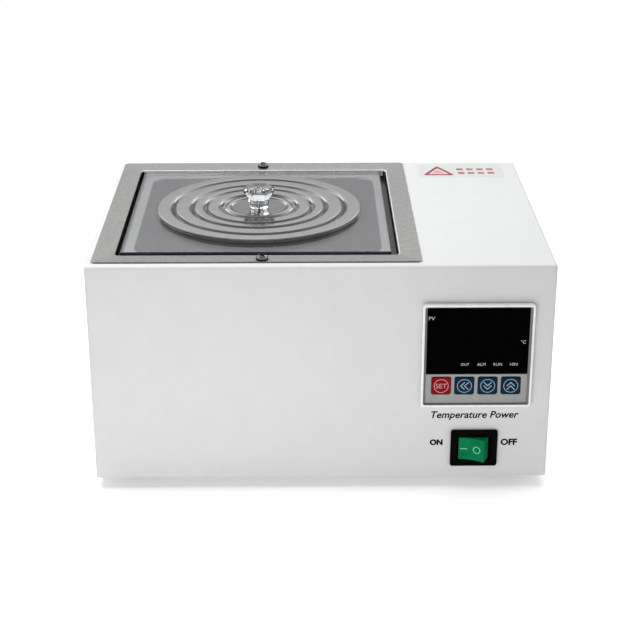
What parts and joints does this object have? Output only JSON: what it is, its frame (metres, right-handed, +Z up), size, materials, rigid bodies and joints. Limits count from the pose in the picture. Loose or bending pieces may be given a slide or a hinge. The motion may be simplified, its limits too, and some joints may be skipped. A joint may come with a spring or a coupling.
{
  "type": "water bath",
  "caption": "Bench-top heated water bath: sheet-steel housing, stainless tank, clear cover plate with nested reducing rings and a knobbed cap, panel temperature controller and rocker switch.",
  "frame": {"origin": "middle of the footprint, on the bench under the rubber feet", "axes": "+X towards the right-hand side with the controls, -Y out of the front panel, +Z up"},
  "size_m": [0.3, 0.2399, 0.1737],
  "materials": {
    "powder_coat": "light grey powder coat, fine orange peel",
    "stainless": "satin stainless steel",
    "polished_steel": "polished stainless steel",
    "zinc": "zinc plated steel",
    "brass": "plain brass",
    "rubber": "black rubber",
    "acrylic": "clear acrylic sheet, faint blue tint",
    "crystal": "clear moulded acrylic, faceted",
    "glass_wool": "compressed glass wool",
    "bezel_white": "satin white moulding",
    "panel_grey": "grey printed overlay",
    "window_black": "smoked black window",
    "key_red": "red key",
    "key_blue": "dark blue key",
    "black_plastic": "black moulded nylon",
    "green_lens": "translucent green rocker",
    "circuit_board": "green circuit board",
    "ceramic": "off-white terminal moulding",
    "fuse_glass": "glass fuse tube",
    "wire_red": "red silicone insulation",
    "wire_blue": "blue insulation",
    "wire_grey": "grey cable sheath",
    "wire_green": "green insulation with yellow stripe"
  },
  "bodies": {
    "housing": {"outer_shell": "powder_coat", "rear_panel": "powder_coat", "base_plate": "zinc", "controller_bracket": "zinc", "rim_screw_front": "zinc", "rim_screw_rear": "zinc", "inlet_screw_left": "zinc", "inlet_screw_right": "zinc", "rear_screw_1": "zinc", "rear_screw_2": "zinc", "rear_screw_3": "zinc", "rear_screw_4": "zinc", "foot_screw_1": "zinc", "foot_screw_2": "zinc", "foot_screw_3": "zinc", "foot_screw_4": "zinc", "foot_1": "rubber", "foot_2": "rubber", "foot_3": "rubber", "foot_4": "rubber", "bath_tank": "stainless", "immersion_heater": "stainless", "temperature_probe": "stainless", "heater_nut_front": "brass", "heater_nut_rear": "brass", "probe_nut": "brass", "inlet_pin_line": "brass", "inlet_pin_earth": "brass", "inlet_pin_neutral": "brass", "tank_insulation": "glass_wool", "controller_bezel": "bezel_white", "controller_panel": "panel_grey", "controller_window": "window_black", "controller_case": "black_plastic", "switch_housing": "black_plastic", "inlet_body": "black_plastic", "solid_state_relay": "black_plastic", "controller_board": "circuit_board", "terminal_block": "ceramic", "heater_lead_front": "wire_red", "heater_lead_rear": "wire_red", "probe_lead": "wire_grey", "supply_lead": "wire_blue", "earth_lead": "wire_green"},
    "shelf": {"tank_shelf": "stainless"},
    "cover": {"cover_plate": "acrylic"},
    "ring_outer": {"ring_1": "polished_steel"},
    "ring_second": {"ring_2": "polished_steel"},
    "ring_third": {"ring_3": "polished_steel"},
    "ring_inner": {"ring_4": "polished_steel"},
    "cap": {"centre_cap": "polished_steel", "cap_knob": "crystal", "knob_screw": "zinc"},
    "set_key": {"key_set": "key_red"},
    "shift_key": {"key_shift": "key_blue"},
    "down_key": {"key_down": "key_blue"},
    "up_key": {"key_up": "key_blue"},
    "rocker": {"switch_rocker": "green_lens"},
    "fuse_tray": {"fuse_drawer": "black_plastic", "fuse": "fuse_glass"}
  },
  "joints": [
    {"name": "shelf_lift", "type": "slide", "parent": "housing", "child": "shelf", "axis": [0, 0, 1], "range_m": [0, 0.08]},
    {"name": "cover_lift", "type": "slide", "parent": "housing", "child": "cover", "axis": [0, 0, 1], "range_m": [0, 0.12]},
    {"name": "ring_outer_lift", "type": "slide", "parent": "cover", "child": "ring_outer", "axis": [0, 0, 1], "range_m": [0, 0.03]},
    {"name": "ring_second_lift", "type": "slide", "parent": "ring_outer", "child": "ring_second", "axis": [0, 0, 1], "range_m": [0, 0.03]},
    {"name": "ring_third_lift", "type": "slide", "parent": "ring_second", "child": "ring_third", "axis": [0, 0, 1], "range_m": [0, 0.03]},
    {"name": "ring_inner_lift", "type": "slide", "parent": "ring_third", "child": "ring_inner", "axis": [0, 0, 1], "range_m": [0, 0.03]},
    {"name": "cap_lift", "type": "slide", "parent": "ring_inner", "child": "cap", "axis": [0, 0, 1], "range_m": [0, 0.05]},
    {"name": "set_key_press", "type": "slide", "parent": "housing", "child": "set_key", "axis": [0, 1, 0], "range_m": [0, 0.0008], "stiffness_N_per_m": 1500},
    {"name": "shift_key_press", "type": "slide", "parent": "housing", "child": "shift_key", "axis": [0, 1, 0], "range_m": [0, 0.0008], "stiffness_N_per_m": 1500},
    {"name": "down_key_press", "type": "slide", "parent": "housing", "child": "down_key", "axis": [0, 1, 0], "range_m": [0, 0.0008], "stiffness_N_per_m": 1500},
    {"name": "up_key_press", "type": "slide", "parent": "housing", "child": "up_key", "axis": [0, 1, 0], "range_m": [0, 0.0008], "stiffness_N_per_m": 1500},
    {"name": "rocker_throw", "type": "hinge", "parent": "housing", "child": "rocker", "pos_m": [0.1011, -0.1108, 0.0296], "axis": [0, 0, 1], "range_deg": [0, 37]},
    {"name": "fuse_tray_pull", "type": "slide", "parent": "housing", "child": "fuse_tray", "axis": [0, 1, 0], "range_m": [0, 0.02]}
  ]
}
